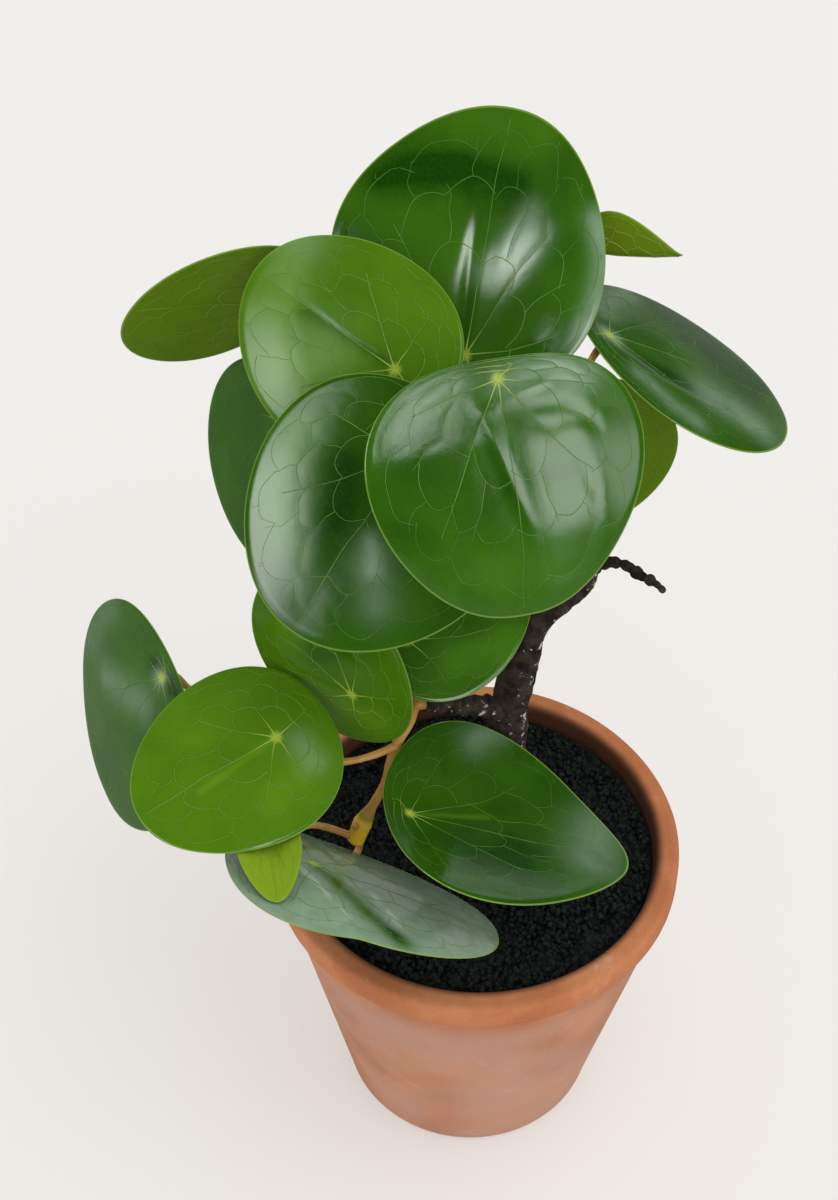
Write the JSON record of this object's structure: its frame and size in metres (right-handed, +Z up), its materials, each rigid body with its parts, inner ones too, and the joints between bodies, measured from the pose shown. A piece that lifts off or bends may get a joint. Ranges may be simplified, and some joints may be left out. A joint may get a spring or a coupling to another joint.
{
  "type": "potted pilea plant",
  "caption": "Bonsai-styled pilea with large round leaves on slim stalks, a woody stem and a tapered terracotta pot filled with dark granules.",
  "frame": {"origin": "centre of the pot's flat base", "axes": "+Z up along the pot's axis, -Y towards the side the picture was taken from, +X to its right"},
  "size_m": [0.2176, 0.1768, 0.3273],
  "materials": {
    "terracotta": "unglazed matt terracotta with a faint pale bloom",
    "granules": "loose near-black granules, matt, a few blue-grey and green flecks",
    "bark": "rough purple-brown bark with pale lichen spots",
    "stalk": "smooth ochre stalk, satin",
    "leaf_dark": "satin dark green leaf, fine pale veins, thin pale edge",
    "leaf_light": "satin mid green leaf, fine pale veins, thin pale edge",
    "leaf_young": "satin bright green young leaf"
  },
  "bodies": {
    "root": {"pot": "terracotta", "soil": "granules", "woody_stem": "bark", "lower_stem": "stalk", "leaf_crown": "leaf_dark", "leaf_upperLeft": "leaf_light", "leaf_farLeft": "leaf_light", "leaf_midLeft": "leaf_dark", "leaf_frontCentre": "leaf_dark", "leaf_farLeftLow": "leaf_dark", "leaf_right": "leaf_dark", "leaf_rightBehind": "leaf_light", "leaf_topRight": "leaf_young", "leaf_farLeftBottom": "leaf_dark", "leaf_leftBottom": "leaf_light", "leaf_middle": "leaf_light", "leaf_middleBack": "leaf_dark", "leaf_overSoil": "leaf_dark", "leaf_front": "leaf_dark", "leaf_young": "leaf_young", "stalk_crown": "stalk", "stalk_upperLeft": "stalk", "stalk_farLeft": "stalk", "stalk_midLeft": "stalk", "stalk_frontCentre": "stalk", "stalk_farLeftLow": "stalk", "stalk_right": "stalk", "stalk_rightBehind": "stalk", "stalk_topRight": "stalk", "stalk_farLeftBottom": "stalk", "stalk_leftBottom": "stalk", "stalk_middle": "stalk", "stalk_middleBack": "stalk", "stalk_overSoil": "stalk", "stalk_front": "stalk", "stalk_young": "stalk"}
  },
  "joints": []
}
